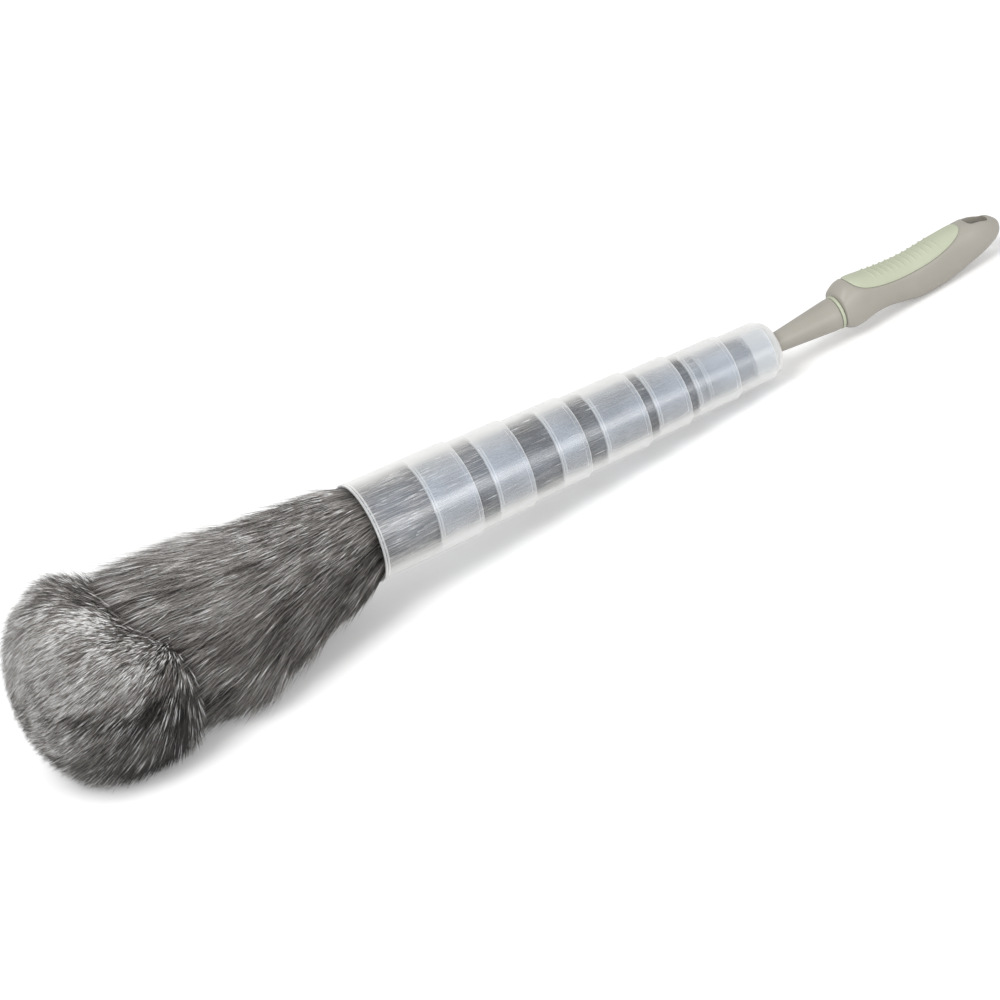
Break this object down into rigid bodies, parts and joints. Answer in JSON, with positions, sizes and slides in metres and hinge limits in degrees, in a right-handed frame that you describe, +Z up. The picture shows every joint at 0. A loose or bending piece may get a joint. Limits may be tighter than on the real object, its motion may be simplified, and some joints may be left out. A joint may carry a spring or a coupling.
{
  "type": "static duster",
  "caption": "Long static duster: grey fibre head on a twisted wire core, telescoping frosted sleeve, tapered neck and taupe handle with a mint grip pad and hang slot.",
  "frame": {"origin": "middle of the object's box in plan, at the floor that it lies on", "axes": "+X along the duster from the fibre tip to the handle, +Z up through the grip pad"},
  "size_m": [0.7614, 0.144, 0.135],
  "materials": {
    "clear_plastic": "satin",
    "taupe_plastic": "satin",
    "mint_rubber": "matte",
    "core_wire": "satin",
    "tip_nylon": "satin",
    "grey_fibre": "matte"
  },
  "bodies": {
    "handle": {"handle_body": "taupe_plastic", "grip_pad": "mint_rubber", "neck": "taupe_plastic", "neck_ring": "mint_rubber", "core_wire_a": "core_wire", "core_wire_b": "core_wire", "tip_cap": "tip_nylon", "fibre_covered": "grey_fibre", "fibre_flare": "grey_fibre", "fibre_tip": "grey_fibre"},
    "section_1": {"sleeve_section_1": "clear_plastic"},
    "section_2": {"sleeve_section_2": "clear_plastic"},
    "section_3": {"sleeve_section_3": "clear_plastic"},
    "section_4": {"sleeve_section_4": "clear_plastic"},
    "section_5": {"sleeve_section_5": "clear_plastic"},
    "section_6": {"sleeve_section_6": "clear_plastic"},
    "section_7": {"sleeve_section_7": "clear_plastic"},
    "section_8": {"sleeve_section_8": "clear_plastic"}
  },
  "joints": [
    {"name": "section_8_slide", "type": "slide", "parent": "handle", "child": "section_8", "axis": [0.9946, 0, -0.1042], "range_m": [0, 0.012]},
    {"name": "section_7_slide", "type": "slide", "parent": "section_8", "child": "section_7", "axis": [0.9946, 0, -0.1042], "range_m": [0, 0.0098]},
    {"name": "section_6_slide", "type": "slide", "parent": "section_7", "child": "section_6", "axis": [0.9946, 0, -0.1042], "range_m": [0, 0.03275]},
    {"name": "section_5_slide", "type": "slide", "parent": "section_6", "child": "section_5", "axis": [0.9946, 0, -0.1042], "range_m": [0, 0.0421]},
    {"name": "section_4_slide", "type": "slide", "parent": "section_5", "child": "section_4", "axis": [0.9946, 0, -0.1042], "range_m": [0, 0.03535]},
    {"name": "section_3_slide", "type": "slide", "parent": "section_4", "child": "section_3", "axis": [0.9946, 0, -0.1042], "range_m": [0, 0.05]},
    {"name": "section_2_slide", "type": "slide", "parent": "section_3", "child": "section_2", "axis": [0.9946, 0, -0.1042], "range_m": [0, 0.04625]},
    {"name": "section_1_slide", "type": "slide", "parent": "section_2", "child": "section_1", "axis": [0.9946, 0, -0.1042], "range_m": [0, 0.0432]}
  ]
}
